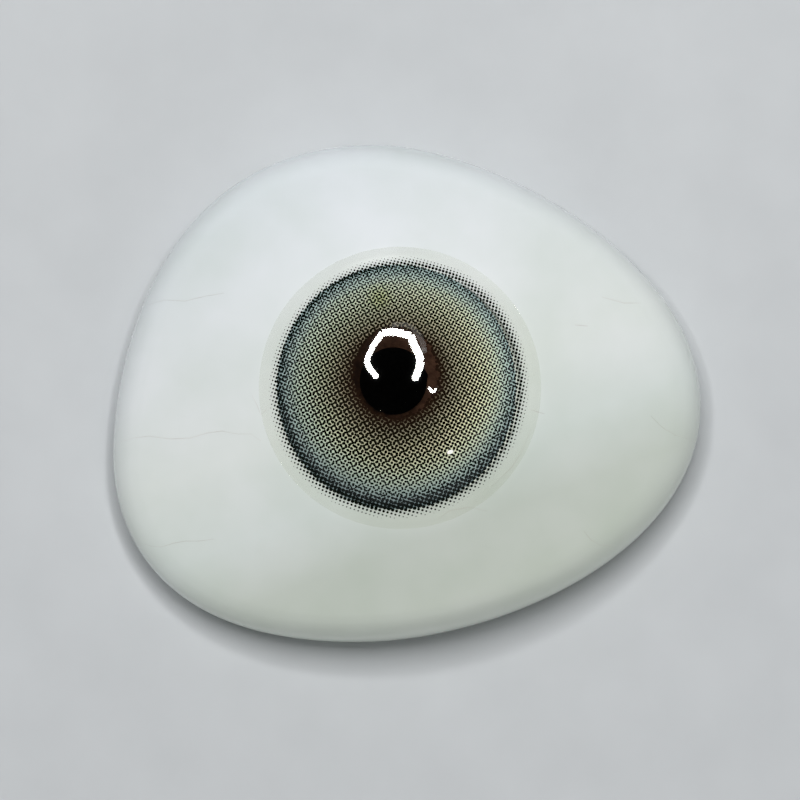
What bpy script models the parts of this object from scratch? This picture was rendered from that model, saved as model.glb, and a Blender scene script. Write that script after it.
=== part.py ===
"""A coloured soft contact lens lying on an artificial eye.

The eye is a hollow shell of white acrylic with an egg-shaped outline. A round button is let into its
front: a brown iris disc, a black pupil disc on it, and a clear cornea over both. The soft lens lies on
the cornea and on the white around it, and its print is on its back face, as three rings of colour.

Metres, +Z up. The eye lies on its rim with the cornea up, as it would come to rest on a table. The
origin is on the rim plane under the middle of the outline. +X points to the narrow end of the outline,
and +Y to its upper edge. Radii are measured from the optical axis, which runs up the middle of the
cornea, a little off the middle of the outline.
"""
import math

import bmesh
import bpy
import numpy

# Outline of the shell: its furthest points, measured from the optical axis
NARROW_REACH = 0.01515
BROAD_REACH = 0.01445
UPPER_REACH = 0.01225
LOWER_REACH = 0.0128

# How far each furthest point lies to the side of the axis
NARROW_DROP = 0.0009
BROAD_DROP = 0.0034
UPPER_SHIFT = 0.00125
LOWER_SHIFT = 0.00225

# How full the outline is between two furthest points: curve handles, in order round the outline
NARROW_TOWARDS_UPPER = 0.00755
UPPER_TOWARDS_NARROW = 0.0056
UPPER_TOWARDS_BROAD = 0.011
BROAD_TOWARDS_UPPER = 0.0047
BROAD_TOWARDS_LOWER = 0.003
LOWER_TOWARDS_BROAD = 0.01075
LOWER_TOWARDS_NARROW = 0.0075
NARROW_TOWARDS_LOWER = 0.00725

# Front of the eye
LIMBUS_HEIGHT = 0.007
LIMBUS_BLEND = 0.0008
CORNEA_RISE = 0.0019
SCLERA_RADIUS = 0.0185
CURL_WIDTH = 0.0015
CURL_FULLNESS = 0.6

# Rim and hollow back
EDGE_HEIGHT = 0.0016
EDGE_ROLL = 0.0011
LAND_WIDTH = 0.0008
BACK_WALL = 0.0012
HOLLOW_FULLNESS = 2.5

# Button: cornea, pupil and iris
BUTTON_RADIUS = 0.006
CORNEA_EDGE = 0.0005
IRIS_THICKNESS = 0.0005
PUPIL_RADIUS = 0.00168
PUPIL_THICKNESS = 0.0001
PUPIL_TO_BROAD = 0.00033
PUPIL_TO_UPPER = 0.00035
FIT_GAP = 0.00003

# Contact lens
LENS_DIAMETER = 0.014
LENS_THICKNESS = 0.0001
LENS_EDGE_THICKNESS = 0.00004
LENS_EDGE_WIDTH = 0.0005
LENS_MARGIN = 0.0004
TEAR_FILM = 0.00003

# Print on the back of the lens
INK_THICKNESS = 0.00002
INK_GAP = 0.00003
HOLE_WIDTH = 0.0044
HOLE_HEIGHT = 0.0048
HOLE_TO_BROAD = 0.0002
HOLE_TO_UPPER = 0.0007
OLIVE_RADIUS = 0.0047
TEAL_RADIUS = 0.00565
PRINT_RADIUS = 0.0061

# Fineness of the faces
SIDES = 56
ROW_SPACING = 0.0005
OUTLINE_STEPS = 40
MARGIN_ROWS = 4
CURL_ROWS = 6
EDGE_ROWS = 4
OLIVE_ROWS = 6
HOLLOW_ROWS = 8
HOLLOW_TURN = math.radians(88)
SHARP_ANGLE = math.radians(40)
MERGE = 0.000001

# Places that follow from the sizes
AXIS_X = (BROAD_REACH - NARROW_REACH) / 2
AXIS_Y = (LOWER_REACH - UPPER_REACH) / 2
RECESS_RADIUS = BUTTON_RADIUS + FIT_GAP
LENS_RADIUS = LENS_DIAMETER / 2
TURNED_REACH = LENS_RADIUS + LENS_MARGIN
LENS_SEAT = TEAR_FILM + INK_THICKNESS + INK_GAP

# Colour, roughness and opacity of each piece
FINISHES = {
    "sclera_shell": ("D3DAD6", 0.12, 1.0),
    "iris_disc": ("2C1A12", 0.45, 1.0),
    "pupil_disc": ("050405", 0.3, 1.0),
    "cornea": ("F2F5F4", 0.04, 0.12),
    "olive_print": ("62664F", 0.5, 1.0),
    "teal_print": ("6C7B74", 0.5, 1.0),
    "limbal_print": ("36454A", 0.5, 1.0),
    "contact_lens": ("E6EFED", 0.06, 0.15),
}


def linear(hex_colour):
    """Turn an sRGB hex colour into the linear values that a shader takes."""
    channels = [int(hex_colour[i:i + 2], 16) / 255 for i in (0, 2, 4)]
    return [c / 12.92 if c <= 0.04045 else ((c + 0.055) / 1.055) ** 2.4 for c in channels]


def finish(name):
    """Material of one piece."""
    colour, roughness, opacity = FINISHES[name]
    material = bpy.data.materials.new(name)
    material.use_nodes = True
    shader = material.node_tree.nodes["Principled BSDF"]
    shader.inputs["Base Color"].default_value = (*linear(colour), 1)
    shader.inputs["Roughness"].default_value = roughness
    shader.inputs["Metallic"].default_value = 0
    shader.inputs["Alpha"].default_value = opacity
    return material


def place(name, mesh, axis):
    """Add a piece that is modelled round the optical axis."""
    mesh.materials.append(finish(name))
    piece = bpy.data.objects.new(name, mesh)
    bpy.context.scene.collection.objects.link(piece)
    piece.parent = axis
    return piece


def front_height(radius):
    """Height of the front face where it is turned: the cornea, a soft step, then the white."""
    share = (radius - BUTTON_RADIUS + LIMBUS_BLEND) / (2 * LIMBUS_BLEND)
    share = min(max(share, 0), 1)
    blend = share * share * (3 - 2 * share)
    height = 0
    if blend < 1:
        dome = (BUTTON_RADIUS ** 2 + CORNEA_RISE ** 2) / (2 * CORNEA_RISE)
        sag = math.sqrt(dome ** 2 - radius ** 2) - (dome - CORNEA_RISE)
        height += (1 - blend) * (LIMBUS_HEIGHT + sag)
    if blend > 0:
        at_limbus = math.sqrt(SCLERA_RADIUS ** 2 - BUTTON_RADIUS ** 2)
        height += blend * (LIMBUS_HEIGHT - at_limbus + math.sqrt(SCLERA_RADIUS ** 2 - radius ** 2))
    return height


def front_fall(radius):
    """Angle by which the turned front face falls away at a radius."""
    step = ROW_SPACING / 100
    return math.atan((front_height(abs(radius - step)) - front_height(radius + step)) / (2 * step))


def above_front(radius, lift):
    """Point that stands off the front face, along its normal."""
    fall = front_fall(radius)
    return radius + lift * math.sin(fall), front_height(radius) + lift * math.cos(fall)


def rows(inner, outer):
    """Radii of the rows of faces, on one spacing for every turned piece, so that their faces nest."""
    first = math.floor(inner / ROW_SPACING) + 1
    last = math.ceil(outer / ROW_SPACING)
    return [inner] + [i * ROW_SPACING for i in range(first, last)] + [outer]


def turn(name, profile, axis, ring=False):
    """Turn a profile, which runs down its outer side, about the optical axis."""
    count = len(profile)
    edges = [(i, i + 1) for i in range(count - 1)]
    if ring:
        edges.append((count - 1, 0))
    mesh = bpy.data.meshes.new(name)
    mesh.from_pydata([(radius, 0, height) for radius, height in profile], edges, [])
    piece = place(name, mesh, axis)
    screw = piece.modifiers.new("turn", "SCREW")
    screw.axis = "Z"
    screw.angle = 2 * math.pi
    screw.steps = SIDES
    screw.render_steps = SIDES
    screw.use_merge_vertices = True
    screw.merge_threshold = MERGE
    screw.use_smooth_shade = True
    return piece


def bezier(start, first, second, end, share):
    """Point at a share of the way along a cubic curve."""
    rest = 1 - share
    weights = (rest ** 3, 3 * rest ** 2 * share, 3 * rest * share ** 2, share ** 3)
    return tuple(sum(w * p[i] for w, p in zip(weights, (start, first, second, end))) for i in (0, 1))


def handle(point, across=0, up=0):
    """Curve handle, set off from a furthest point."""
    return point[0] + across, point[1] + up


def outline():
    """Bearing and reach of the points round the egg-shaped outline."""
    narrow = (NARROW_REACH, -NARROW_DROP)
    upper = (-UPPER_SHIFT, UPPER_REACH)
    broad = (-BROAD_REACH, -BROAD_DROP)
    lower = (-LOWER_SHIFT, -LOWER_REACH)
    quarters = (
        (narrow, handle(narrow, up=NARROW_TOWARDS_UPPER), handle(upper, UPPER_TOWARDS_NARROW), upper),
        (upper, handle(upper, -UPPER_TOWARDS_BROAD), handle(broad, up=BROAD_TOWARDS_UPPER), broad),
        (broad, handle(broad, up=-BROAD_TOWARDS_LOWER), handle(lower, -LOWER_TOWARDS_BROAD), lower),
        (lower, handle(lower, LOWER_TOWARDS_NARROW), handle(narrow, up=-NARROW_TOWARDS_LOWER), narrow),
    )
    points = [bezier(*quarter, i / OUTLINE_STEPS) for quarter in quarters for i in range(OUTLINE_STEPS)]
    return sorted((math.atan2(y, x), math.hypot(x, y)) for x, y in points)


def margin(reach):
    """The white from the turned part to the widest line: straight on, then curled over."""
    start = (TURNED_REACH, front_height(TURNED_REACH))
    slope = math.tan(front_fall(TURNED_REACH))
    corner = (reach, start[1] - slope * (reach - start[0]))
    curl = (reach - CURL_WIDTH, corner[1] + slope * CURL_WIDTH)
    end = (reach, EDGE_HEIGHT)
    first = tuple(a + CURL_FULLNESS * (c - a) for a, c in zip(curl, corner))
    second = tuple(b + CURL_FULLNESS * (c - b) for b, c in zip(end, corner))
    shares = [i / MARGIN_ROWS for i in range(1, MARGIN_ROWS + 1)]
    straight = [tuple(a + (b - a) * share for a, b in zip(start, curl)) for share in shares]
    return straight + [bezier(curl, first, second, end, i / CURL_ROWS) for i in range(1, CURL_ROWS + 1)]


def rounded_edge(reach):
    """The edge, rolled in from the widest line to the flat land that the eye rests on."""
    turns = [math.pi / 2 * i / EDGE_ROWS for i in range(1, EDGE_ROWS + 1)]
    return [(reach - EDGE_ROLL * (1 - math.cos(t)), EDGE_HEIGHT * (1 - math.sin(t))) for t in turns]


def hollow(reach, roof):
    """The hollow back, from the inner edge of the land up to its roof."""
    mouth = reach - EDGE_ROLL - LAND_WIDTH
    power = 2 / HOLLOW_FULLNESS
    turns = [HOLLOW_TURN * i / HOLLOW_ROWS for i in range(HOLLOW_ROWS + 1)]
    return [(mouth * math.cos(t) ** power, roof * math.sin(t) ** power) for t in turns]


def shell_section(reach, floor):
    """Section of the shell in one direction, from its recess out over the edge and into the hollow."""
    section = [(RECESS_RADIUS, floor)]
    section += [(radius, front_height(radius)) for radius in rows(RECESS_RADIUS, TURNED_REACH)]
    section += margin(reach)
    section += rounded_edge(reach)
    section += hollow(reach, floor - BACK_WALL)
    return section


def loft(name, section_at, axis, ring=False):
    """Bridge the sections that a function gives for each bearing, and close the ends unless it is a ring."""
    sections = []
    for i in range(SIDES):
        bearing = 2 * math.pi * i / SIDES
        section = section_at(bearing)
        sections.append([(r * math.cos(bearing), r * math.sin(bearing), z) for r, z in section])
    build = bmesh.new()
    loops = []
    for row in zip(*sections):
        corners = [build.verts.new(point) for point in row]
        loops.append([build.edges.new(pair) for pair in zip(corners, corners[1:] + corners[:1])])
    for outer, inner in zip(loops, loops[1:]):
        bmesh.ops.bridge_loops(build, edges=outer + inner)
    if ring:
        bmesh.ops.bridge_loops(build, edges=loops[-1] + loops[0])
    else:
        bmesh.ops.holes_fill(build, edges=loops[0] + loops[-1], sides=SIDES)
    bmesh.ops.recalc_face_normals(build, faces=build.faces)
    mesh = bpy.data.meshes.new(name)
    build.to_mesh(mesh)
    build.free()
    mesh.shade_smooth()
    mesh.set_sharp_from_angle(angle=SHARP_ANGLE)
    place(name, mesh, axis)


def sclera_shell(axis, floor):
    """White shell, closed by the recess's floor and the hollow's roof."""
    bearings, reaches = zip(*outline())

    def section_at(bearing):
        reach = float(numpy.interp(bearing, bearings, reaches, period=2 * math.pi))
        return shell_section(reach, floor)

    loft("sclera_shell", section_at, axis)


def disc(name, radius, top, thickness, axis):
    """Flat round disc."""
    bottom = top - thickness
    return turn(name, [(0, top), (radius, top), (radius, bottom), (0, bottom)], axis)


def cornea(axis, base):
    """Clear dome with a flat base."""
    dome = [(radius, front_height(radius)) for radius in rows(0, BUTTON_RADIUS)]
    turn("cornea", dome + [(BUTTON_RADIUS, base), (0, base)], axis)


def ink_section(radii):
    """Section through a field of ink, laid on the back of the lens."""
    front = [above_front(radius, TEAR_FILM + INK_THICKNESS) for radius in radii]
    return front + [above_front(radius, TEAR_FILM) for radius in reversed(radii)]


def print_ring(name, inner, outer, axis):
    """Round field of ink."""
    turn(name, ink_section(rows(inner, outer)), axis, ring=True)


def hole_reach(bearing):
    """Reach of the oval hole in the middle of the print, which lies off the lens's centre."""
    across, along = math.cos(bearing) / (HOLE_WIDTH / 2), math.sin(bearing) / (HOLE_HEIGHT / 2)
    side, rise = -HOLE_TO_BROAD / (HOLE_WIDTH / 2), HOLE_TO_UPPER / (HOLE_HEIGHT / 2)
    size = across ** 2 + along ** 2
    middle = across * side + along * rise
    return (middle + math.sqrt(middle ** 2 - size * (side ** 2 + rise ** 2 - 1))) / size


def olive_print(outer, axis):
    """Innermost field of ink, round outside and open at the oval hole."""
    def section_at(bearing):
        inner = hole_reach(bearing)
        return ink_section([inner + (outer - inner) * i / OLIVE_ROWS for i in range(OLIVE_ROWS + 1)])

    loft("olive_print", section_at, axis, ring=True)


def contact_lens(axis):
    """Clear soft lens, draped over the eye, with a thinned edge."""
    taper_start = LENS_RADIUS - LENS_EDGE_WIDTH
    front = []
    back = []
    for radius in rows(0, LENS_RADIUS):
        share = max(radius - taper_start, 0) / LENS_EDGE_WIDTH
        seat = LENS_SEAT + share * (TEAR_FILM - LENS_SEAT)
        thickness = LENS_THICKNESS + share * (LENS_EDGE_THICKNESS - LENS_THICKNESS)
        front.append(above_front(radius, seat + thickness))
        back.append(above_front(radius, seat))
    turn("contact_lens", front + back[::-1], axis)


def build_eye():
    """Model every piece round the optical axis."""
    for leftover in list(bpy.data.objects):
        bpy.data.objects.remove(leftover)
    axis = bpy.data.objects.new("optical_axis", None)
    axis.location = (AXIS_X, AXIS_Y, 0)
    bpy.context.scene.collection.objects.link(axis)

    cornea_base = front_height(BUTTON_RADIUS) - CORNEA_EDGE
    pupil_top = cornea_base - FIT_GAP
    iris_top = pupil_top - PUPIL_THICKNESS - FIT_GAP
    recess_floor = iris_top - IRIS_THICKNESS - FIT_GAP

    sclera_shell(axis, recess_floor)
    disc("iris_disc", BUTTON_RADIUS, iris_top, IRIS_THICKNESS, axis)
    pupil = disc("pupil_disc", PUPIL_RADIUS, pupil_top, PUPIL_THICKNESS, axis)
    pupil.location = (-PUPIL_TO_BROAD, PUPIL_TO_UPPER, 0)
    cornea(axis, cornea_base)

    olive_print(OLIVE_RADIUS - INK_GAP / 2, axis)
    print_ring("teal_print", OLIVE_RADIUS + INK_GAP / 2, TEAL_RADIUS - INK_GAP / 2, axis)
    print_ring("limbal_print", TEAL_RADIUS + INK_GAP / 2, PRINT_RADIUS, axis)
    contact_lens(axis)


build_eye()
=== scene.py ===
"""Looks of a coloured soft contact lens that lies on an artificial eye.

The eye is polished white acrylic with a clear cornea let into it. The lens rests on the cornea. Its print
is three fields of pale ink with screens of dark dots over them, pad-printed on its back face. Metres, +Z up.
"""
import math

import bmesh
import bpy
from mathutils import Matrix, Vector
from mathutils.bvhtree import BVHTree

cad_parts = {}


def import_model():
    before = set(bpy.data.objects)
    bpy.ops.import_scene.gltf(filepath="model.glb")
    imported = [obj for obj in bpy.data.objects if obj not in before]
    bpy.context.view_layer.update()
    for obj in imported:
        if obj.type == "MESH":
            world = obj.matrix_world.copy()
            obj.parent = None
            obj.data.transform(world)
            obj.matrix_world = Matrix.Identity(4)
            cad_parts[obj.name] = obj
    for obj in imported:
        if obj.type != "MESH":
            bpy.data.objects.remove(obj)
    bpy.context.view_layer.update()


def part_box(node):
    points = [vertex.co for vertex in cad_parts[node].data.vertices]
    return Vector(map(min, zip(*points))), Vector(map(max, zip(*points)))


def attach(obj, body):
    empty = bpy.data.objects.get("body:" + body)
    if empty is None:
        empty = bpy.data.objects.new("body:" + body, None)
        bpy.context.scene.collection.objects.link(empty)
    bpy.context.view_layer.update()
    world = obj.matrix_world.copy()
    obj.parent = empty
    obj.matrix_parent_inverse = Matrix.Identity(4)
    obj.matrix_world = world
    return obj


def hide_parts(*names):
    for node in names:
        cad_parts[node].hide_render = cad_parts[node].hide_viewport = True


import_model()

MM = 0.001

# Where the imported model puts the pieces
LENS_LOW, LENS_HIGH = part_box("contact_lens")
CORNEA_LOW, CORNEA_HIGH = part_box("cornea")
IRIS_LOW, IRIS_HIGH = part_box("iris_disc")
PUPIL_LOW, PUPIL_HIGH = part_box("pupil_disc")
AXIS = (LENS_LOW + LENS_HIGH) / 2
LENS_RADIUS = (LENS_HIGH.x - LENS_LOW.x) / 2
BUTTON_RADIUS = (CORNEA_HIGH.x - CORNEA_LOW.x) / 2
PUPIL_RADIUS = (PUPIL_HIGH.x - PUPIL_LOW.x) / 2
PUPIL_MIDDLE = (PUPIL_LOW + PUPIL_HIGH) / 2

# Where the brown paint ends on the iris disc, and the width of its soft edge
PAINT_RADIUS = 5.35 * MM
PAINT_EDGE = 0.15 * MM

# Small bump on the pupil's edge: how far it stands out, and its bearing and spread in radians
PUPIL_BUMP, BUMP_BEARING, BUMP_SPREAD = 0.07 * MM, 0.17, 0.1

# Outline of the shell: its furthest points from the optical axis, and the curve handles between them
NARROW_REACH, NARROW_DROP = 15.15 * MM, 0.9 * MM
BROAD_REACH, BROAD_DROP = 14.45 * MM, 3.4 * MM
UPPER_REACH, UPPER_SHIFT = 12.25 * MM, 1.25 * MM
LOWER_REACH, LOWER_SHIFT = 12.8 * MM, 2.25 * MM
NARROW_TOWARDS_UPPER, UPPER_TOWARDS_NARROW = 7.55 * MM, 5.6 * MM
UPPER_TOWARDS_BROAD, BROAD_TOWARDS_UPPER = 11.0 * MM, 4.7 * MM
BROAD_TOWARDS_LOWER, LOWER_TOWARDS_BROAD = 3.0 * MM, 10.75 * MM
LOWER_TOWARDS_NARROW, NARROW_TOWARDS_LOWER = 7.5 * MM, 7.25 * MM

# Front of the eye, rim and hollow back
CORNEA_RISE = 1.9 * MM
CORNEA_RADIUS = (BUTTON_RADIUS ** 2 + CORNEA_RISE ** 2) / (2 * CORNEA_RISE)
LIMBUS_BLEND = 0.8 * MM
SCLERA_RADIUS = 18.5 * MM
CURL_WIDTH = 1.5 * MM
CURL_FULLNESS = 0.6
EDGE_HEIGHT = 1.6 * MM
EDGE_ROLL = 1.1 * MM
LAND_WIDTH = 0.8 * MM
BACK_WALL = 1.2 * MM
HOLLOW_FULLNESS = 2.5
FIT_GAP = 0.03 * MM
LIMBUS_HEIGHT = CORNEA_HIGH.z - CORNEA_RISE
RECESS_RADIUS = BUTTON_RADIUS + FIT_GAP
RECESS_FLOOR = IRIS_LOW.z - FIT_GAP
TURNED_REACH = LENS_RADIUS + 0.4 * MM

# Contact lens, in heights above the front of the eye
TEAR_FILM = 0.03 * MM
INK_TOP = 0.05 * MM
LENS_SEAT = 0.08 * MM
LENS_THICKNESS = 0.1 * MM
LENS_EDGE_THICKNESS = 0.04 * MM
LENS_EDGE_WIDTH = 0.5 * MM

# Print fields, from the optical axis, with the middles of the hole, the print, the limbal ink and its fringe
OLIVE_RADIUS = 4.7 * MM
TEAL_RADIUS = 5.65 * MM
PRINT_RADIUS = 6.1 * MM
HOLE_WIDTH, HOLE_HEIGHT = 4.3 * MM, 4.6 * MM
HOLE_MIDDLE = (-0.2 * MM, 0.75 * MM)
PRINT_MIDDLE = (-0.09 * MM, 0.075 * MM)
FIELD_WIDTH, FIELD_HEIGHT = 11.88 * MM, 12.16 * MM
FIELD_MIDDLE = (-0.177 * MM, 0.038 * MM)
FRINGE_MIDDLE = (-0.055 * MM, 0.015 * MM)

# Waves that make the hole's edge ragged: how many go round, how deep they are, and their turn in radians
HOLE_WAVES = ((7, 0.035 * MM, 0.4), (19, 0.03 * MM, 1.9), (31, 0.025 * MM, 4.1))

# Dot screens of the print. Sizes are dot radii by distance out, in millimetres. Swings are by what share
# the dots are larger towards one bearing. The skew is by how much a screen reaches further along the skew's
# bearing, and less far across it.
DOT_SIDES = 10
DOT_THICKNESS = 0.006 * MM
SMALLEST_DOT = 0.008 * MM
SKEW_BEARING = math.radians(57)
SCREENS = {
    "fine_dots": {
        "pitch": 0.170 * MM, "angle": 62, "lift": 0.052 * MM, "slot": "olive_ink",
        "middles": (HOLE_MIDDLE, PRINT_MIDDLE), "towards": 330, "skew": 0, "over_white": False,
        "sizes": (
            (1.8, 0.087), (2.2, 0.082), (2.5, 0.077), (2.85, 0.072), (3.6, 0.070), (4.35, 0.066),
            (4.75, 0.060), (5.13, 0.054), (5.3, 0.051), (5.55, 0.052), (5.75, 0.052), (5.95, 0.051)),
        "swings": ((2.3, 0), (2.85, 0.13), (3.6, 0.16), (4.35, 0.15), (5.1, 0.07), (5.5, 0))},
    "wide_dots": {
        "pitch": 0.197 * MM, "angle": 30, "lift": 0.060 * MM, "slot": "olive_ink",
        "middles": (HOLE_MIDDLE, PRINT_MIDDLE), "towards": 20, "skew": 0, "over_white": False,
        "sizes": (
            (1.8, 0.096), (2.2, 0.086), (2.5, 0.077), (2.85, 0.070), (3.6, 0.064), (4.35, 0.061),
            (4.75, 0.059), (5.13, 0.055), (5.3, 0.052), (5.55, 0.052), (5.75, 0.052), (5.95, 0.051)),
        "swings": ((2.3, 0), (2.8, -0.28), (4.35, -0.3), (5.1, -0.22), (5.4, -0.05), (5.6, 0))},
    "rim_dots": {
        "pitch": 0.202 * MM, "angle": 73, "lift": 0.068 * MM, "slot": "limbal_ink",
        "middles": (FRINGE_MIDDLE, FRINGE_MIDDLE), "towards": 268, "skew": 0.085 * MM, "over_white": True,
        "sizes": (
            (5.0, 0), (5.15, 0.036), (5.3, 0.050), (5.53, 0.062), (5.73, 0.073), (5.93, 0.080),
            (6.06, 0.084), (6.16, 0.070), (6.24, 0.055), (6.35, 0.039), (6.46, 0.024), (6.52, 0.010),
            (6.53, 0)),
        "swings": (
            (5.1, 0.3), (5.3, 0.4), (5.5, 0.5), (5.75, 0.52), (5.95, 0.42), (6.05, 0.12), (6.12, 0),
            (6.22, 0), (6.3, 0.12), (6.5, 0.12))},
}

# How far from the axis rows and dots are tried, by what share the dots close up for each metre towards
# the top, and in how many rounds that is worked out
ROWS_REACH = 1.35 * PRINT_RADIUS
DOTS_REACH = 1.2 * PRINT_RADIUS
SCREEN_LEAN = 11
LEAN_ROUNDS = 4

# Fineness of the meshes
SIDES = 384
FRONT_STEP = 0.1 * MM
MARGIN_ROWS = 12
CURL_ROWS = 24
EDGE_ROWS = 14
HOLLOW_ROWS = 36
HOLLOW_TURN = math.radians(88)
OLIVE_ROWS, RING_ROWS = 26, 8
GRAIN_SIDES, GRAIN_ROWS = 24, 12
SHARP_ANGLE = math.radians(40)

# Half the side of the floor
FLOOR_REACH = 3

# The photograph's frame: its size, the optical axis in it, a pixel's width on the eye, and the camera
PHOTO_SIZE = 800
AXIS_PIXEL = (400, 388)
PIXEL = 0.0504 * MM
CAMERA_DISTANCE = 600 * MM
SENSOR = 36

# Pixels of the catch-light on the lens, which give the ring lamp its shape, its stroke in pixels along them,
# its radiance, and its height over the eye
LAMP_PATH = (
    (376, 376), (370, 368.4), (366.8, 361), (370, 353), (374, 345), (378, 339.7), (382.6, 333.4),
    (390.6, 332.2), (398.6, 332.8), (405.5, 335), (410.4, 336.2), (413, 342.6), (415.8, 349.4),
    (419.3, 355.2), (420, 361), (419, 368.4), (415.3, 377.6),
)
LAMP_STROKES = (5.2, 5.2, 5.2, 5.2, 5.4, 5.8, 6.8, 7.4, 7.4, 7.4, 6.8, 6.8, 7.2, 7.2, 7.2, 6.6)
LAMP_RADIANCE = 28
LAMP_HEIGHT = 250 * MM

# Fainter mirror images, in pixels: a haze beside the ring, and a small v, each with its stroke
HALO_PATH = ((394, 325.5), (403, 325), (412, 328), (419, 336), (423, 344), (424, 351))
HALO_STROKE = 5
HALO_RADIANCE = 0.7
GLINTS = ((((429.3, 388.3), (432, 392.2)), 2.6), (((433.8, 391.8), (435.8, 388.6)), 1.7))

# Light from where the ring lamp is, which the polish doesn't mirror: the pixel it is over, size, radiance
KEY_PIXEL = (394, 354)
KEY_SIZE = 120 * MM
KEY_RADIANCE = 3.8

# Broad lamps low around the eye: bearing and rise in degrees, and radiance
FILLS = ((-70, 14, 2.5), (180, 14, 0.8), (65, 12, 0.7))
FILL_DISTANCE = 300 * MM
FILL_SIZE = 150 * MM

# Fine threads in the white: width, height, share of the width at the ends, and pixels between their points
VEIN_WIDTH = 0.045 * MM
VEIN_HEIGHT = 0.008 * MM
VEIN_END = 0.35
VEIN_STEP = 4

# Pixels that the threads run through
VEINS = (
    ((146, 305), (165, 300), (185, 301), (206, 296), (224, 293)),
    ((118, 443), (133, 438), (149, 436), (170, 439), (190, 438), (207, 433), (222, 431), (238, 434),
     (251, 434), (261, 441)),
    ((141, 543), (150, 546), (161, 547), (174, 543), (186, 541), (200, 541), (214, 539)),
    ((602, 297), (613, 300), (624, 303), (641, 303)),
    ((575, 325), (588, 326)),
    ((651, 416), (662, 427), (675, 435), (690, 439)),
    ((584, 531), (591, 540), (600, 545), (620, 546)),
    ((531, 410), (545, 414)),
    ((531, 429), (522, 451), (512, 467), (490, 488)),
    ((437, 520), (449, 511), (469, 507), (488, 511)),
    ((252, 395), (257, 405), (261, 415), (267, 409)),
)

# White grain on the lens that stands in for a glint, a painted highlight: the pixel it is seen at, the way
# it lies, and half its length, width and height
GLINT_GRAIN_PIXEL = (450.2, 451.8)
GLINT_GRAIN_LIE = (0.95, 0.3, 0)
GLINT_GRAIN_SIZES = (0.17 * MM, 0.11 * MM, 0.03 * MM)

# Tints of the white, partly its own hue and partly painted shade: darker and greener low down, bluer higher
# up; the way in which it turns, and how far from the axis it goes on
WHITE_TINTS_AND_PAINTED_SHADE = (
    (0, "CAD0C6"), (0.2, "CAD0C8"), (0.33, "DAE0DD"), (0.5, "E2E6E4"), (0.78, "DFE3E5"), (1, "D9DEE2"),
)
TINT_AND_SHADE_WAY = (-0.35, 0.94, 0)
TINT_AND_SHADE_REACH = 12 * MM

# The brown paint: the way in which it gets redder and paler, and where that starts and ends
PALER_WAY = (0.9, 0.43, 0)
PALER_START, PALER_END = -1.6 * MM, 2 * MM

# Colours of the print by distance out, in shares of its radius: the ink in painted shade and in painted
# light, which are mixed by side, and the dots. Then the middle and the colour of a yellower fleck in it.
SHADED_INK = (
    (0.34, "3A2C22"), (0.45, "A0967F"), (0.53, "B2B098"), (0.61, "BDC0A8"), (0.70, "C6CFB9"),
    (0.77, "C0CFC2"), (0.83, "AAB9AF"), (0.87, "A0B0AB"), (0.91, "98A9A8"), (0.94, "8C9C9E"),
    (0.975, "7E8E92"),
)
LIT_INK = (
    (0.34, "463629"), (0.45, "ADA68E"), (0.53, "D0CBAC"), (0.61, "ECE8C6"), (0.70, "F0F2D0"),
    (0.77, "ECF2D4"), (0.83, "E2EED8"), (0.87, "D6E8DC"), (0.91, "C4DAD4"), (0.94, "BCD4D2"),
    (0.975, "AEC6C8"),
)
DARK_INK = (
    (0.36, "20140C"), (0.45, "100B04"), (0.6, "0A0902"), (0.75, "0C0E06"), (0.85, "08120F"),
    (0.95, "030A09"), (1, "0A100A"),
)
FLECK_PLACE = (-0.165, 0.74, 0)
FLECK_COLOUR = "B4BE78"

# Tones of the dim room, from low down to overhead
ROOM_TONES = ((0, "D8DADC"), (0.25, "A8ACAF"), (0.45, "404244"), (0.65, "202122"), (1, "080808"))

# Sockets of the Mix node, which has its own for numbers, vectors and colours
FACTOR, NUMBER_A, NUMBER_B, VECTOR_A, VECTOR_B, COLOUR_A, COLOUR_B = 0, 2, 3, 4, 5, 6, 7
NUMBER_OUT, VECTOR_OUT, COLOUR_OUT = 0, 1, 2


def linear(hex_colour):
    """Turn an sRGB hex colour into the linear colour that a shader takes."""
    channels = [int(hex_colour[i:i + 2], 16) / 255 for i in (0, 2, 4)]
    return (*[c / 12.92 if c <= 0.04045 else ((c + 0.055) / 1.055) ** 2.4 for c in channels], 1)


def ease(share):
    """Soft step from 0 to 1."""
    share = min(max(share, 0), 1)
    return share * share * (3 - 2 * share)


def along(stops, place):
    """Value at a place between the stops of a list of (place, value)."""
    if place <= stops[0][0]:
        return stops[0][1]
    for (low, first), (high, second) in zip(stops, stops[1:]):
        if place <= high:
            return first + (second - first) * (place - low) / (high - low)
    return stops[-1][1]


def front_height(radius):
    """Height of the eye's front where it is turned: the cornea, a soft step, then the white."""
    blend = ease((radius - BUTTON_RADIUS + LIMBUS_BLEND) / (2 * LIMBUS_BLEND))
    height = 0
    if blend < 1:
        dome = math.sqrt(CORNEA_RADIUS ** 2 - radius ** 2) - (CORNEA_RADIUS - CORNEA_RISE)
        height += (1 - blend) * (LIMBUS_HEIGHT + dome)
    if blend > 0:
        at_limbus = math.sqrt(SCLERA_RADIUS ** 2 - BUTTON_RADIUS ** 2)
        height += blend * (LIMBUS_HEIGHT - at_limbus + math.sqrt(SCLERA_RADIUS ** 2 - radius ** 2))
    return height


def front_fall(radius):
    """Angle by which the turned front falls away at a radius."""
    step = FRONT_STEP / 100
    return math.atan((front_height(abs(radius - step)) - front_height(radius + step)) / (2 * step))


def above_front(radius, lift):
    """Radius and height of a point that stands off the front, along its normal."""
    fall = front_fall(radius)
    return radius + lift * math.sin(fall), front_height(radius) + lift * math.cos(fall)


def steps(start, end, spacing):
    """Evenly spaced values from start to end."""
    count = max(1, round(abs(end - start) / spacing))
    return [start + (end - start) * i / count for i in range(count + 1)]


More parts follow.
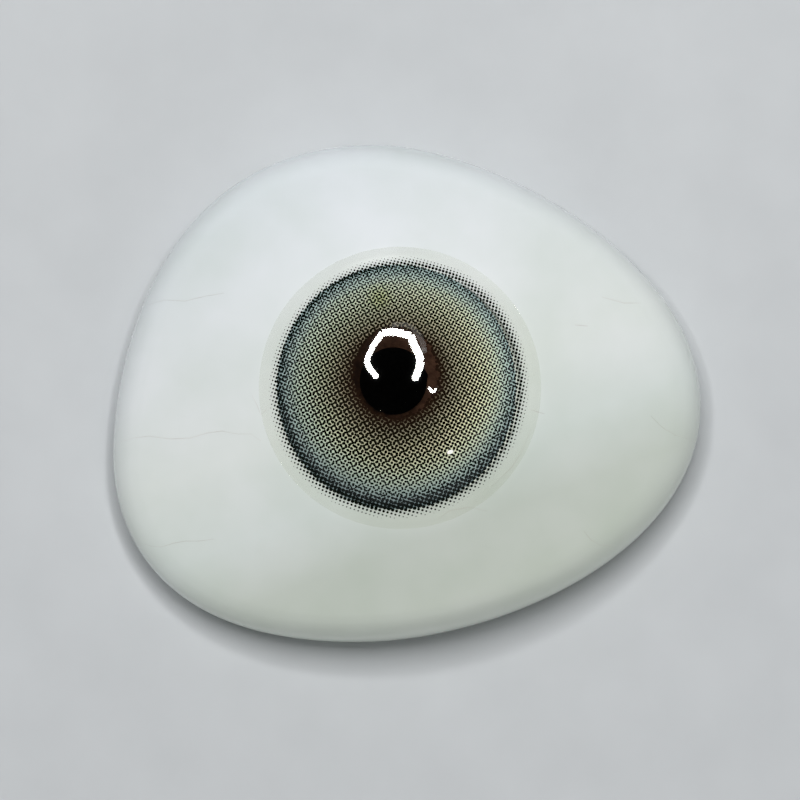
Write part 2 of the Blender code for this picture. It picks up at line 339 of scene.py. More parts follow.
def bezier(start, first, second, end, share):
    """Point at a share of the way along a cubic curve."""
    rest = 1 - share
    weights = (rest ** 3, 3 * rest ** 2 * share, 3 * rest * share ** 2, share ** 3)
    return tuple(sum(w * p[i] for w, p in zip(weights, (start, first, second, end))) for i in (0, 1))


def outline():
    """Reach of the egg-shaped outline from the optical axis, by bearing."""
    narrow = (NARROW_REACH, -NARROW_DROP)
    upper = (-UPPER_SHIFT, UPPER_REACH)
    broad = (-BROAD_REACH, -BROAD_DROP)
    lower = (-LOWER_SHIFT, -LOWER_REACH)

    def handle(point, across=0, up=0):
        return point[0] + across, point[1] + up

    quarters = (
        (narrow, handle(narrow, up=NARROW_TOWARDS_UPPER), handle(upper, UPPER_TOWARDS_NARROW), upper),
        (upper, handle(upper, -UPPER_TOWARDS_BROAD), handle(broad, up=BROAD_TOWARDS_UPPER), broad),
        (broad, handle(broad, up=-BROAD_TOWARDS_LOWER), handle(lower, -LOWER_TOWARDS_BROAD), lower),
        (lower, handle(lower, LOWER_TOWARDS_NARROW), handle(narrow, up=-NARROW_TOWARDS_LOWER), narrow),
    )
    points = [bezier(*quarter, i / SIDES) for quarter in quarters for i in range(SIDES)]
    turn = 2 * math.pi
    polar = sorted((math.atan2(y, x) % turn, math.hypot(x, y)) for x, y in points)
    return [(polar[-1][0] - turn, polar[-1][1])] + polar + [(polar[0][0] + turn, polar[0][1])]


def oval_reach(bearing, width, height, middle):
    """Reach of an oval that isn't centred on the optical axis."""
    across, up = math.cos(bearing) * 2 / width, math.sin(bearing) * 2 / height
    side, rise = middle[0] * 2 / width, middle[1] * 2 / height
    size = across ** 2 + up ** 2
    shift = across * side + up * rise
    return (shift + math.sqrt(shift ** 2 - size * (side ** 2 + rise ** 2 - 1))) / size


def hole_reach(bearing):
    """Reach of the print's oval hole, with a ragged edge."""
    reach = oval_reach(bearing, HOLE_WIDTH, HOLE_HEIGHT, HOLE_MIDDLE)
    return reach + sum(depth * math.sin(count * bearing + turn) for count, depth, turn in HOLE_WAVES)


def field_reach(bearing):
    """Reach of the limbal ink, which is printed a little off the axis."""
    return oval_reach(bearing, FIELD_WIDTH, FIELD_HEIGHT, FIELD_MIDDLE)


def new_piece(name, corners, faces, material, smooth=True):
    """Piece that rides on the eye. A smooth one has its faces turned outwards, a flat one comes that way."""
    mesh = bpy.data.meshes.new(name)
    mesh.from_pydata(corners, [], faces)
    if smooth:
        build = bmesh.new()
        build.from_mesh(mesh)
        bmesh.ops.recalc_face_normals(build, faces=build.faces)
        build.to_mesh(mesh)
        build.free()
        mesh.shade_smooth()
        mesh.set_sharp_from_angle(angle=SHARP_ANGLE)
    mesh.materials.append(material)
    piece = bpy.data.objects.new(name, mesh)
    bpy.context.scene.collection.objects.link(piece)
    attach(piece, "root")
    return piece


def loft(name, section_at, material, poles=None, middle=AXIS):
    """Closed skin through the sections at all bearings: capped at two heights on the axis, or a ring."""
    corners = []
    for i in range(SIDES):
        bearing = 2 * math.pi * i / SIDES
        across, up = math.cos(bearing), math.sin(bearing)
        section = section_at(bearing)
        corners += [(middle.x + r * across, middle.y + r * up, z) for r, z in section]
    rows = len(section)
    spans = range(rows - 1) if poles else range(rows)
    faces = []
    for i in range(SIDES):
        here, beside = i * rows, (i + 1) % SIDES * rows
        faces += [(here + k, here + (k + 1) % rows, beside + (k + 1) % rows, beside + k) for k in spans]
    if poles:
        first, last = len(corners), len(corners) + 1
        corners += [(middle.x, middle.y, height) for height in poles]
        for i in range(SIDES):
            here, beside = i * rows, (i + 1) % SIDES * rows
            faces += [(first, here, beside), (last, beside + rows - 1, here + rows - 1)]
    return new_piece(name, corners, faces, material)


def shell_section(reach):
    """Section of the white shell in one direction, from its recess over the edge into the hollow."""
    start = (TURNED_REACH, front_height(TURNED_REACH))
    slope = math.tan(front_fall(TURNED_REACH))
    corner = (reach, start[1] - slope * (reach - start[0]))
    curl = (reach - CURL_WIDTH, corner[1] + slope * CURL_WIDTH)
    end = (reach, EDGE_HEIGHT)
    first = tuple(a + CURL_FULLNESS * (c - a) for a, c in zip(curl, corner))
    second = tuple(b + CURL_FULLNESS * (c - b) for b, c in zip(end, corner))
    section = [(RECESS_RADIUS, RECESS_FLOOR)]
    section += [(r, front_height(r)) for r in steps(RECESS_RADIUS, TURNED_REACH, FRONT_STEP)]
    for i in range(1, MARGIN_ROWS + 1):
        section.append(tuple(a + (b - a) * i / MARGIN_ROWS for a, b in zip(start, curl)))
    section += [bezier(curl, first, second, end, i / CURL_ROWS) for i in range(1, CURL_ROWS + 1)]
    for i in range(1, EDGE_ROWS + 1):
        turn = math.pi / 2 * i / EDGE_ROWS
        section.append((reach - EDGE_ROLL * (1 - math.cos(turn)), EDGE_HEIGHT * (1 - math.sin(turn))))
    mouth = reach - EDGE_ROLL - LAND_WIDTH
    roof = RECESS_FLOOR - BACK_WALL
    power = 2 / HOLLOW_FULLNESS
    for i in range(HOLLOW_ROWS + 1):
        turn = HOLLOW_TURN * i / HOLLOW_ROWS
        section.append((mouth * math.cos(turn) ** power, roof * math.sin(turn) ** power))
    return section


def add(tree, kind, settings=None, inputs=None):
    """Add a node with its settings, and its inputs as values or as the sockets that feed them."""
    node = tree.nodes.new("ShaderNode" + kind)
    for name, value in (settings or {}).items():
        if name == "stops":
            stops = node.color_ramp.elements
            while len(stops) < len(value):
                stops.new(1)
            for stop, (place, colour) in zip(stops, value):
                stop.position = place
                stop.color = linear(colour)
        else:
            setattr(node, name, value)
    for key, value in (inputs or {}).items():
        if isinstance(value, bpy.types.NodeSocket):
            tree.links.new(value, node.inputs[key])
        else:
            node.inputs[key].default_value = value
    return node


def new_material(name):
    """Empty material, and its node tree."""
    material = bpy.data.materials.new(name)
    material.use_nodes = True
    material.node_tree.nodes.clear()
    return material, material.node_tree


def white_tint_and_painted_shade(tree, place):
    """Colour of the white at a place: bluish above, greener below and darker there as painted shade, faintly
    clouded.
    """
    slope = add(tree, "VectorMath", {"operation": "DOT_PRODUCT"}, {0: place, 1: TINT_AND_SHADE_WAY})
    share = add(tree, "MapRange", {}, {
        "Value": slope.outputs["Value"], "From Min": -TINT_AND_SHADE_REACH, "From Max": TINT_AND_SHADE_REACH})
    tint = add(tree, "ValToRGB", {"stops": WHITE_TINTS_AND_PAINTED_SHADE}, {"Fac": share.outputs["Result"]})
    cloud = add(tree, "TexNoise", {}, {
        "Vector": place, "Scale": 1 / (5 * MM), "Detail": 3, "Roughness": 0.5})
    veil = add(tree, "ValToRGB", {"stops": ((0.3, "F3F6F2"), (0.7, "FFFFFF"))}, {
        "Fac": cloud.outputs["Fac"]})
    colour = add(tree, "Mix", {"data_type": "RGBA", "blend_type": "MULTIPLY"}, {
        FACTOR: 1, COLOUR_A: tint.outputs["Color"], COLOUR_B: veil.outputs["Color"]})
    return colour.outputs[COLOUR_OUT]


def white_acrylic():
    """Heat-cured white PMMA, buffed: a milky gloss."""
    material, tree = new_material("white_acrylic")
    # Base colour: the white's tint with its painted shade, darker low down
    shader = add(tree, "BsdfPrincipled", {}, {
        "Base Color": white_tint_and_painted_shade(tree, add(tree, "TexCoord").outputs["Object"]),
        "Roughness": 0.14, "IOR": 1.49, "Metallic": 0})
    add(tree, "OutputMaterial", {}, {"Surface": shader.outputs[0]})
    return material


def clear_film(name, ior, tint, roughness):
    """Clear moulded body seen without bending: it tints what is under it, and both its faces shine."""
    material, tree = new_material(name)
    clear = add(tree, "BsdfTransparent", {}, {"Color": linear(tint)})
    shine = add(tree, "BsdfGlossy", {}, {"Color": (1, 1, 1, 1), "Roughness": roughness})
    outer = add(tree, "Fresnel", {}, {"IOR": ior})
    inner = add(tree, "Fresnel", {}, {"IOR": 1 / ior})
    amount = add(tree, "Mix", {}, {
        FACTOR: add(tree, "NewGeometry").outputs["Backfacing"],
        NUMBER_A: outer.outputs[0], NUMBER_B: inner.outputs[0]})
    both = add(tree, "MixShader", {}, {
        0: amount.outputs[NUMBER_OUT], 1: clear.outputs[0], 2: shine.outputs[0]})
    add(tree, "OutputMaterial", {}, {"Surface": both.outputs[0]})
    return material


def iris_paint():
    """Brown oil paint on a white disc: dark, mottled, matt, and redder and paler to the right."""
    material, tree = new_material("iris_paint")
    place = add(tree, "TexCoord").outputs["Object"]
    mottle = add(tree, "TexNoise", {}, {
        "Vector": place, "Scale": 1 / (0.4 * MM), "Detail": 4, "Roughness": 0.6})
    dark = add(tree, "ValToRGB", {"stops": ((0.3, "150D09"), (0.5, "1C110C"), (0.72, "271911"))}, {
        "Fac": mottle.outputs["Fac"]})
    pale = add(tree, "ValToRGB", {"stops": ((0.3, "2F1E17"), (0.5, "3F2B21"), (0.72, "523A2D"))}, {
        "Fac": mottle.outputs["Fac"]})
    slope = add(tree, "VectorMath", {"operation": "DOT_PRODUCT"}, {0: place, 1: PALER_WAY})
    share = add(tree, "MapRange", {}, {
        "Value": slope.outputs["Value"], "From Min": PALER_START, "From Max": PALER_END})
    brown = add(tree, "Mix", {"data_type": "RGBA"}, {
        FACTOR: share.outputs["Result"], COLOUR_A: dark.outputs["Color"], COLOUR_B: pale.outputs["Color"]})
    offset = add(tree, "VectorMath", {"operation": "SUBTRACT"}, {0: place, 1: (AXIS.x, AXIS.y, IRIS_HIGH.z)})
    out = add(tree, "VectorMath", {"operation": "LENGTH"}, {0: offset.outputs[0]})
    bare = add(tree, "MapRange", {}, {
        "Value": out.outputs["Value"], "From Min": PAINT_RADIUS, "From Max": PAINT_RADIUS + PAINT_EDGE})
    colour = add(tree, "Mix", {"data_type": "RGBA"}, {
        FACTOR: bare.outputs["Result"], COLOUR_A: brown.outputs[COLOUR_OUT], COLOUR_B: linear("E6EBE6")})
    shader = add(tree, "BsdfPrincipled", {}, {
        "Base Color": colour.outputs[COLOUR_OUT], "Roughness": 0.6, "IOR": 1.05, "Metallic": 0})
    add(tree, "OutputMaterial", {}, {"Surface": shader.outputs[0]})
    return material


def pupil_paint():
    """Black paint under the cornea: no gloss of its own, with the faintest grain."""
    material, tree = new_material("pupil_paint")
    place = add(tree, "TexCoord").outputs["Object"]
    grain = add(tree, "TexNoise", {}, {"Vector": place, "Scale": 1 / (0.2 * MM), "Detail": 2})
    colour = add(tree, "ValToRGB", {"stops": ((0.3, "000000"), (0.7, "020202"))}, {
        "Fac": grain.outputs["Fac"]})
    shader = add(tree, "BsdfPrincipled", {}, {
        "Base Color": colour.outputs["Color"], "Roughness": 0.7, "IOR": 1.03, "Metallic": 0})
    add(tree, "OutputMaterial", {}, {"Surface": shader.outputs[0]})
    return material


def print_place(tree):
    """Distance out of a point of the print, and its place, both in shares of the print's radius."""
    place = add(tree, "TexCoord").outputs["Object"]
    offset = add(tree, "VectorMath", {"operation": "SUBTRACT"}, {0: place, 1: (AXIS.x, AXIS.y, 0)})
    flat = add(tree, "VectorMath", {"operation": "MULTIPLY"}, {0: offset.outputs[0], 1: (1, 1, 0)})
    scaled = add(tree, "VectorMath", {"operation": "SCALE"}, {0: flat.outputs[0], "Scale": 1 / PRINT_RADIUS})
    guess = add(tree, "VectorMath", {"operation": "LENGTH"}, {0: scaled.outputs[0]})
    middle = add(tree, "Mix", {"data_type": "VECTOR", "clamp_factor": True}, {
        FACTOR: guess.outputs["Value"],
        VECTOR_A: tuple(c / PRINT_RADIUS for c in (*HOLE_MIDDLE, 0)),
        VECTOR_B: tuple(c / PRINT_RADIUS for c in (*PRINT_MIDDLE, 0))})
    apart = add(tree, "VectorMath", {"operation": "SUBTRACT"}, {
        0: scaled.outputs[0], 1: middle.outputs[VECTOR_OUT]})
    out = add(tree, "VectorMath", {"operation": "LENGTH"}, {0: apart.outputs[0]})
    return out.outputs["Value"], scaled.outputs[0]


def lit_side_share(tree, out, heading):
    """Share of the lit ink, which is painted light: more to the right, below near the hole and above further
    out.
    """
    rightwards = add(tree, "MapRange", {}, {
        "Value": out, "From Min": 0.7, "From Max": 0.86, "To Min": 0.95, "To Max": 0.35})
    upwards = add(tree, "MapRange", {"interpolation_type": "SMOOTHSTEP"}, {
        "Value": out, "From Min": 0.6, "From Max": 0.9, "To Min": -0.7, "To Max": 0.7})
    way = add(tree, "CombineXYZ", {}, {"X": rightwards.outputs["Result"], "Y": upwards.outputs["Result"]})
    slope = add(tree, "VectorMath", {"operation": "DOT_PRODUCT"}, {0: heading, 1: way.outputs[0]})
    share = add(tree, "MapRange", {}, {"Value": slope.outputs["Value"], "From Min": -1, "From Max": 1})
    return share.outputs["Result"]


def print_shade(tree, out, heading):
    """Share of shade on the print: low down, deepest near the hole, and a little at the top."""
    down = add(tree, "VectorMath", {"operation": "DOT_PRODUCT"}, {0: heading, 1: (0, -1, 0)})
    deepest = add(tree, "MapRange", {}, {
        "Value": out, "From Min": 0.65, "From Max": 0.85, "To Min": 0.26, "To Max": 0.08})
    below = add(tree, "MapRange", {}, {
        "Value": down.outputs["Value"], "From Min": 0.5, "From Max": 1,
        "To Min": 0, "To Max": deepest.outputs["Result"]})
    above = add(tree, "MapRange", {}, {
        "Value": down.outputs["Value"], "From Min": -0.4, "From Max": -1, "To Min": 0, "To Max": 0.18})
    both = add(tree, "Math", {"operation": "ADD"}, {0: below.outputs["Result"], 1: above.outputs["Result"]})
    return both.outputs["Value"]


def pigment_field(name):
    """Pale pad-printed ink in the hydrogel: matt, olive inside and blue-grey outside, with painted light on
    one side and painted shade low down and at the top.
    """
    material, tree = new_material(name)
    out, place = print_place(tree)
    heading = add(tree, "VectorMath", {"operation": "NORMALIZE"}, {0: place}).outputs[0]
    # Painted light and shade: the same ink as it looks in shade and in light, mixed by side
    shaded = add(tree, "ValToRGB", {"stops": SHADED_INK}, {"Fac": out})
    pale = add(tree, "ValToRGB", {"stops": LIT_INK}, {"Fac": out})
    colour = add(tree, "Mix", {"data_type": "RGBA"}, {
        FACTOR: lit_side_share(tree, out, heading),
        COLOUR_A: shaded.outputs["Color"], COLOUR_B: pale.outputs["Color"]})
    gap = add(tree, "VectorMath", {"operation": "DISTANCE"}, {0: place, 1: FLECK_PLACE})
    fleck = add(tree, "MapRange", {}, {
        "Value": gap.outputs["Value"], "From Min": 0.03, "From Max": 0.13, "To Min": 0.55, "To Max": 0})
    colour = add(tree, "Mix", {"data_type": "RGBA"}, {
        FACTOR: fleck.outputs["Result"],
        COLOUR_A: colour.outputs[COLOUR_OUT], COLOUR_B: linear(FLECK_COLOUR)})
    # Painted shade: the ink darkened towards black low down and at the top
    colour = add(tree, "Mix", {"data_type": "RGBA"}, {
        FACTOR: print_shade(tree, out, heading),
        COLOUR_A: colour.outputs[COLOUR_OUT], COLOUR_B: linear("000000")})
    shader = add(tree, "BsdfPrincipled", {}, {
        "Base Color": colour.outputs[COLOUR_OUT], "Roughness": 0.6, "IOR": 1.05, "Metallic": 0})
    add(tree, "OutputMaterial", {}, {"Surface": shader.outputs[0]})
    return material


def dot_ink():
    """Dark iron-oxide ink of the dots: matt, brown inside and blue-black at the rim."""
    material, tree = new_material("dot_ink")
    colour = add(tree, "ValToRGB", {"stops": DARK_INK}, {"Fac": print_place(tree)[0]})
    shader = add(tree, "BsdfPrincipled", {}, {
        "Base Color": colour.outputs["Color"], "Roughness": 0.6, "IOR": 1.05, "Metallic": 0})
    add(tree, "OutputMaterial", {}, {"Surface": shader.outputs[0]})
    return material


def thread_dye():
    """Fine rayon thread in the surface of the white, dyed red and nearly lost in it."""
    material, tree = new_material("thread_dye")
    place = add(tree, "TexCoord").outputs["Object"]
    fade = add(tree, "TexNoise", {}, {"Vector": place, "Scale": 1 / (1.2 * MM), "Detail": 2})
    dye = add(tree, "ValToRGB", {"stops": ((0.35, "F5F2F1"), (0.65, "ECE8E7"))}, {
        "Fac": fade.outputs["Fac"]})
    # The thread takes the white's colour, painted shade included, under its dye
    colour = add(tree, "Mix", {"data_type": "RGBA", "blend_type": "MULTIPLY"}, {
        FACTOR: 1, COLOUR_A: white_tint_and_painted_shade(tree, place), COLOUR_B: dye.outputs["Color"]})
    shader = add(tree, "BsdfPrincipled", {}, {
        "Base Color": colour.outputs[COLOUR_OUT], "Roughness": 0.3, "IOR": 1.49, "Metallic": 0})
    add(tree, "OutputMaterial", {}, {"Surface": shader.outputs[0]})
    return material


def painted_glint_grain():
    """Near-white grain with a soft sheen that stands in for a glint: a painted highlight."""
    material, tree = new_material("painted_glint_grain")
    place = add(tree, "TexCoord").outputs["Object"]
    grain = add(tree, "TexNoise", {}, {"Vector": place, "Scale": 1 / (0.05 * MM), "Detail": 2})
    colour = add(tree, "ValToRGB", {"stops": ((0.3, "FAFAF6"), (0.7, "FFFFFC"))}, {
        "Fac": grain.outputs["Fac"]})
    shader = add(tree, "BsdfPrincipled", {}, {
        "Base Color": colour.outputs["Color"], "Roughness": 0.5, "IOR": 1.4, "Metallic": 0})
    add(tree, "OutputMaterial", {}, {"Surface": shader.outputs[0]})
    return material


def pale_board():
    """Pale matt card under the eye."""
    material, tree = new_material("pale_board")
    place = add(tree, "TexCoord").outputs["Object"]
    grain = add(tree, "TexNoise", {}, {"Vector": place, "Scale": 1 / (4 * MM), "Detail": 3})
    colour = add(tree, "ValToRGB", {"stops": ((0.3, "C3C6C8"), (0.7, "C7CACC"))}, {
        "Fac": grain.outputs["Fac"]})
    shader = add(tree, "BsdfPrincipled", {}, {
        "Base Color": colour.outputs["Color"], "Roughness": 0.9, "IOR": 1.3, "Metallic": 0})
    add(tree, "OutputMaterial", {}, {"Surface": shader.outputs[0]})
    return material


def camera():
    """Look straight down on the eye, framed as in the photograph."""
    data = bpy.data.cameras.new("camera")
    data.sensor_width = SENSOR
    data.lens = SENSOR * CAMERA_DISTANCE / (PHOTO_SIZE * PIXEL)
    data.clip_start = CAMERA_DISTANCE / 100
    data.clip_end = CAMERA_DISTANCE * 100
    seat = bpy.data.objects.new("camera", data)
    across = (PHOTO_SIZE / 2 - AXIS_PIXEL[0]) * PIXEL
    up = (AXIS_PIXEL[1] - PHOTO_SIZE / 2) * PIXEL
    seat.location = (AXIS.x + across, AXIS.y + up, EDGE_HEIGHT + CAMERA_DISTANCE)
    bpy.context.scene.collection.objects.link(seat)
    bpy.context.scene.camera = seat
    return seat.location.copy()


def sight(pixel):
    """Direction of the line of sight through a pixel of the photograph."""
    across = (pixel[0] - PHOTO_SIZE / 2) * PIXEL
    up = (PHOTO_SIZE / 2 - pixel[1]) * PIXEL
    return Vector((across, up, -CAMERA_DISTANCE)).normalized()


def mirrored(eye_point, pixel, surface):
    """Point of the lens seen at a pixel, and the point of the lamps' plane that it mirrors."""
    ray = sight(pixel)
    point = surface.ray_cast(eye_point, ray)[0]
    radius = math.hypot(point.x - AXIS.x, point.y - AXIS.y)
    fall = front_fall(radius)
    side = math.sin(fall) / radius
    normal = Vector(((point.x - AXIS.x) * side, (point.y - AXIS.y) * side, math.cos(fall)))
    bounce = ray.reflect(normal)
    return point, point + bounce * ((LAMP_HEIGHT - point.z) / bounce.z)


def lamp(name, middle, length, width, direction, radiance, shape="RECTANGLE", mirrors=True):
    """Small soft lamp that faces the eye."""
    data = bpy.data.lights.new(name, "AREA")
    data.shape = shape
    data.size = length
    if shape == "RECTANGLE":
        data.size_y = width
        area = length * width
    else:
        area = math.pi * length ** 2 / 4
    data.energy = radiance * math.pi * area
    seat = bpy.data.objects.new(name, data)
    back = (middle - Vector((AXIS.x, AXIS.y, CORNEA_HIGH.z))).normalized()
    across = (direction - back * direction.dot(back)).normalized()
    turn = Matrix((across, back.cross(across), back)).transposed().to_4x4()
    seat.matrix_world = Matrix.Translation(middle) @ turn
    seat.visible_camera = False
    seat.visible_glossy = mirrors
    bpy.context.scene.collection.objects.link(seat)


def lamp_chain(name, eye_point, surface, path, strokes, radiance):
    """Chain of lamps whose mirror image on the lens follows a path of pixels."""
    ends = [mirrored(eye_point, pixel, surface) for pixel in path]
    for i, ((near, start), (far, end)) in enumerate(zip(ends, ends[1:])):
        reach = end - start
        width = strokes[i] * PIXEL * reach.length / (far - near).length
        lamp("%s_%d" % (name, i), (start + end) / 2, reach.length, width, reach, radiance)
        if i == 0:
            lamp("%s_start" % name, start, width, width, reach, radiance, "DISK")
        if i == len(path) - 2:
            lamp("%s_end" % name, end, width, width, reach, radiance, "DISK")


def soft_lamps(eye_point, surface):
    """Light that the polish doesn't mirror: one lamp where the ring lamp is, others low around the eye."""
    middle = mirrored(eye_point, KEY_PIXEL, surface)[1]
    lamp("key_lamp", middle, KEY_SIZE, KEY_SIZE, Vector((1, 0, 0)), KEY_RADIANCE, "DISK", mirrors=False)
    for i, (bearing, rise, radiance) in enumerate(FILLS):
        bearing, rise = math.radians(bearing), math.radians(rise)
        level = math.cos(rise)
        away = Vector((level * math.cos(bearing), level * math.sin(bearing), math.sin(rise)))
        middle = AXIS + away * FILL_DISTANCE
        across = away.cross((0, 0, 1))
        lamp("fill_lamp_%d" % i, middle, FILL_SIZE, FILL_SIZE, across, radiance, mirrors=False)


def world():
    """Dim room: pale low down, darker overhead, so that the black pupil stays black."""
    room = bpy.data.worlds.new("room")
    room.use_nodes = True
    tree = room.node_tree
    tree.nodes.clear()
    height = add(tree, "SeparateXYZ", {}, {0: add(tree, "TexCoord").outputs["Generated"]})
    tone = add(tree, "ValToRGB", {"stops": ROOM_TONES}, {"Fac": height.outputs["Z"]})
    glow = add(tree, "Background", {}, {"Color": tone.outputs["Color"], "Strength": 1})
    add(tree, "OutputWorld", {}, {"Surface": glow.outputs[0]})
    bpy.context.scene.world = room


def floor():
    """Plain pale floor."""
    corners = [(x * FLOOR_REACH, y * FLOOR_REACH, 0) for x, y in ((-1, -1), (1, -1), (1, 1), (-1, 1))]
    mesh = bpy.data.meshes.new("floor")
    mesh.from_pydata(corners, [], [(0, 1, 2, 3)])
    mesh.materials.append(pale_board())
    board = bpy.data.objects.new("floor", mesh)
    bpy.context.scene.collection.objects.link(board)


def white_shell():
    """Polished shell, smooth all over."""
    reach_at = outline()
    roof = shell_section(NARROW_REACH)[-1][1]

    def section_at(bearing):
        return shell_section(along(reach_at, bearing))

    piece = loft("polished_shell", section_at, white_acrylic(), poles=(RECESS_FLOOR, roof))
    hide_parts("sclera_shell")
    return piece


def button():
    """Iris, pupil and cornea."""
    side = [(BUTTON_RADIUS, IRIS_HIGH.z), (BUTTON_RADIUS, IRIS_LOW.z)]
    disc = loft("painted_iris", lambda bearing: side, iris_paint(), (IRIS_HIGH.z, IRIS_LOW.z))
    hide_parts("iris_disc")

    def pupil_side(bearing):
        reach = PUPIL_RADIUS + PUPIL_BUMP * math.exp(-((bearing - BUMP_BEARING) / BUMP_SPREAD) ** 2)
        return [(reach, PUPIL_HIGH.z), (reach, PUPIL_LOW.z)]

    poles = (PUPIL_HIGH.z, PUPIL_LOW.z)
    disc = loft("painted_pupil", pupil_side, pupil_paint(), poles, PUPIL_MIDDLE)
    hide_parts("pupil_disc")

    dome = [(r, front_height(r)) for r in steps(FRONT_STEP, BUTTON_RADIUS, FRONT_STEP)]
    dome.append((BUTTON_RADIUS, CORNEA_LOW.z))
    acrylic = clear_film("clear_acrylic", 1.49, "FEFEFD", 0.03)
    poles = (CORNEA_HIGH.z, CORNEA_LOW.z)
    piece = loft("clear_cornea", lambda bearing: dome, acrylic, poles)
    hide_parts("cornea")


def ink_fields():
    """Three fields of pale ink on the back of the lens."""
    edges = (hole_reach, lambda bearing: OLIVE_RADIUS, lambda bearing: TEAL_RADIUS, field_reach)
    fields = (
        ("olive_field", "olive_print", "olive_ink", OLIVE_ROWS),
        ("teal_field", "teal_print", "teal_ink", RING_ROWS),
        ("limbal_field", "limbal_print", "limbal_ink", RING_ROWS),
    )
    for (name, node, slot, rows), inner_at, outer_at in zip(fields, edges, edges[1:]):

        def section_at(bearing):
            inner, outer = inner_at(bearing), outer_at(bearing)
            radii = [inner + (outer - inner) * i / rows for i in range(rows + 1)]
            front = [above_front(r, INK_TOP) for r in radii]
            return front + [above_front(r, TEAR_FILM) for r in reversed(radii)]

        piece = loft(name, section_at, pigment_field(slot))
        piece.visible_shadow = False
        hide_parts(node)


def screen_points(pitch, angle):
    """Radius and bearing of each dot, square on the flattened lens and closer together towards the top."""
    reach = int(ROWS_REACH / pitch) + 1
    turn = math.radians(angle)
    for row in range(-reach, reach + 1):
        for column in range(-reach, reach + 1):
            u = pitch * (column * math.cos(turn) - row * math.sin(turn))
            v = pitch * (column * math.sin(turn) + row * math.cos(turn))
            y = v
            for _ in range(LEAN_ROUNDS):
                y = v / (1 + SCREEN_LEAN * y)
            x = u / (1 + SCREEN_LEAN * y)
            spread = math.hypot(x, y)
            if 0 < spread < DOTS_REACH:
                yield CORNEA_RADIUS * math.sin(spread / CORNEA_RADIUS), math.atan2(y, x)


def distance_out(radius, bearing, middles):
    """Distance from a middle that moves from the print's hole to its outer edge as the radius grows."""
    (start_x, start_y), (end_x, end_y) = middles
    share = min(radius / PRINT_RADIUS, 1)
    across = radius * math.cos(bearing) - start_x - (end_x - start_x) * share
    up = radius * math.sin(bearing) - start_y - (end_y - start_y) * share
    return math.hypot(across, up)


def dot_screen(name, ink, pitch, angle, lift, slot, middles, towards, skew, over_white, sizes, swings):
    """One screen of round flat dots in the lens, over the ink fields or over the white beside them too."""
    corners, faces = [], []
    for radius, bearing in screen_points(pitch, angle):
        out = distance_out(radius, bearing, middles) - skew * math.cos(2 * (bearing - SKEW_BEARING))
        swing = along(swings, out / MM) * math.cos(bearing - math.radians(towards))
        size = along(sizes, out / MM) * MM * (1 + swing)
        if size < SMALLEST_DOT or radius < hole_reach(bearing) - size:
            continue
        if not over_white and radius > field_reach(bearing):
            continue
        fall = front_fall(radius)
        across, up = math.cos(bearing), math.sin(bearing)
        outward = Vector((math.cos(fall) * across, math.cos(fall) * up, -math.sin(fall)))
        sideways = Vector((-up, across, 0))
        low = len(corners)
        high = low + DOT_SIDES
        for height in (lift, lift + DOT_THICKNESS):
            r, z = above_front(radius, height)
            middle = Vector((AXIS.x + r * across, AXIS.y + r * up, z))
            for k in range(DOT_SIDES):
                t = 2 * math.pi * k / DOT_SIDES
                corners.append(middle + outward * (size * math.cos(t)) + sideways * (size * math.sin(t)))
        faces += [tuple(range(high - 1, low - 1, -1)), tuple(range(high, high + DOT_SIDES))]
        for k in range(DOT_SIDES):
            beside = (k + 1) % DOT_SIDES
            faces.append((low + k, low + beside, high + beside, high + k))
    piece = new_piece(name, corners, faces, ink, smooth=False)
    piece.visible_shadow = False


def soft_lens():
    """Clear lens over the print, thinned to its edge."""
    taper_start = LENS_RADIUS - LENS_EDGE_WIDTH
    radii = steps(0, LENS_RADIUS, FRONT_STEP)
    front, back = [], []
    for r in radii:
        share = max(r - taper_start, 0) / LENS_EDGE_WIDTH
        seat = LENS_SEAT + share * (TEAR_FILM - LENS_SEAT)
        front.append(above_front(r, seat + LENS_THICKNESS + share * (LENS_EDGE_THICKNESS - LENS_THICKNESS)))
        back.append(above_front(r, seat))
    section = front[1:] + back[:0:-1]
    gel = clear_film("hydrogel", 1.43, "FCFCFA", 0.02)
    piece = loft("soft_lens", lambda bearing: section, gel, (front[0][1], back[0][1]))
    piece.visible_shadow = False
    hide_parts("contact_lens")
    return piece


def tree_of(piece):
    """Search tree of a piece's surface."""
    mesh = piece.data
    return BVHTree.FromPolygons([v.co for v in mesh.vertices], [p.vertices for p in mesh.polygons])


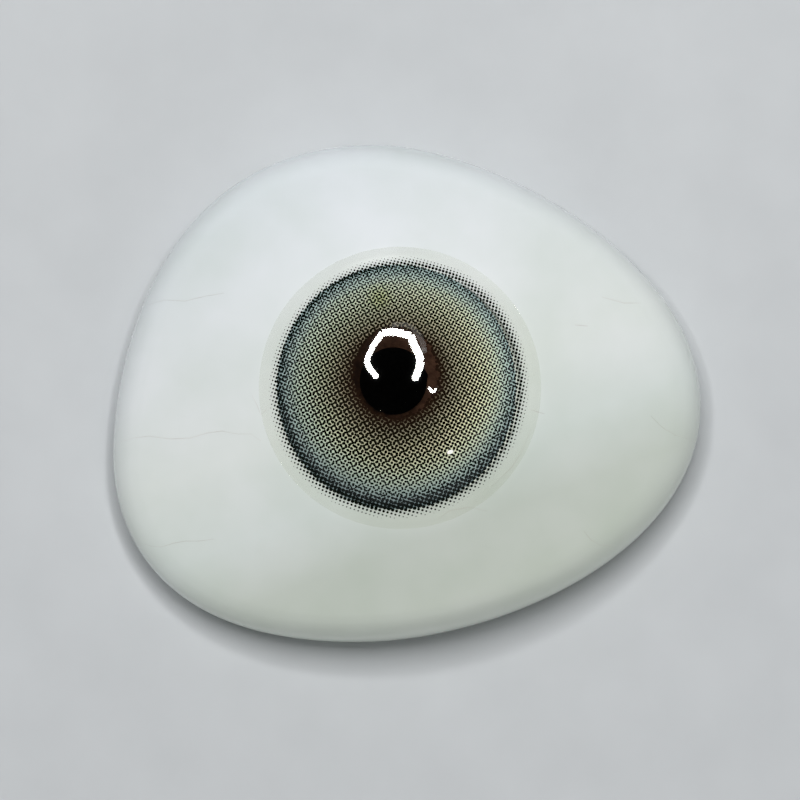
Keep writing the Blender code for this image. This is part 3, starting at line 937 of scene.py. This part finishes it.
def place_glint_grain(eye_point, surface):
    """Tiny near-white grain on the lens where a glint shows: a painted highlight."""
    point, normal = surface.ray_cast(eye_point, sight(GLINT_GRAIN_PIXEL))[:2]
    lie = Vector(GLINT_GRAIN_LIE)
    lie = (lie - normal * normal.dot(lie)).normalized()
    shape = Matrix((lie, normal.cross(lie), normal)).transposed() @ Matrix.Diagonal(GLINT_GRAIN_SIZES)
    place = Matrix.Translation(point + normal * GLINT_GRAIN_SIZES[2]) @ shape.to_4x4()
    build = bmesh.new()
    bmesh.ops.create_uvsphere(build, u_segments=GRAIN_SIDES, v_segments=GRAIN_ROWS, radius=1, matrix=place)
    corners = [vertex.co[:] for vertex in build.verts]
    faces = [[vertex.index for vertex in face.verts] for face in build.faces]
    build.free()
    piece = new_piece("painted_glint_grain", corners, faces, painted_glint_grain())
    piece.visible_shadow = False


def vein_threads(eye_point, surface):
    """Fine threads laid in the white, thinning towards their ends."""
    corners, faces = [], []
    for path in VEINS:
        points = []
        for start, end in zip(path, path[1:]):
            count = max(1, round(math.dist(start, end) / VEIN_STEP))
            points += [tuple(a + (b - a) * i / count for a, b in zip(start, end)) for i in range(count)]
        points.append(path[-1])
        hits = [surface.ray_cast(eye_point, sight(point))[:2] for point in points]
        base = len(corners)
        last = len(hits) - 1
        for i, (point, normal) in enumerate(hits):
            ahead = hits[min(i + 1, last)][0] - hits[max(i - 1, 0)][0]
            side = ahead.cross(normal).normalized()
            swell = math.sin(math.pi * (i + 0.5) / (last + 1))
            across = side * (VEIN_WIDTH / 2 * (VEIN_END + (1 - VEIN_END) * swell))
            up = normal * VEIN_HEIGHT
            corners += [point - across, point + up, point + across, point - up]
        for i in range(last):
            here, there = base + 4 * i, base + 4 * (i + 1)
            faces += [(here + k, here + (k + 1) % 4, there + (k + 1) % 4, there + k) for k in range(4)]
        faces += [tuple(range(base, base + 4)), tuple(range(base + 4 * last + 3, base + 4 * last - 1, -1))]
    new_piece("vein_threads", corners, faces, thread_dye())


bpy.context.scene.view_settings.view_transform = "Standard"
eye_point = camera()
world()
floor()
shell = white_shell()
button()
ink_fields()
ink = dot_ink()
for screen, settings in SCREENS.items():
    dot_screen(screen, ink, **settings)
lens = soft_lens()
lens_surface = tree_of(lens)
place_glint_grain(eye_point, lens_surface)
vein_threads(eye_point, tree_of(shell))
lamp_chain("ring_lamp", eye_point, lens_surface, LAMP_PATH, LAMP_STROKES, LAMP_RADIANCE)
lamp_chain("halo_lamp", eye_point, lens_surface, HALO_PATH, [HALO_STROKE] * len(HALO_PATH), HALO_RADIANCE)
for i, (path, stroke) in enumerate(GLINTS):
    lamp_chain("glint_lamp_%d" % i, eye_point, lens_surface, path, [stroke], LAMP_RADIANCE)
soft_lamps(eye_point, lens_surface)
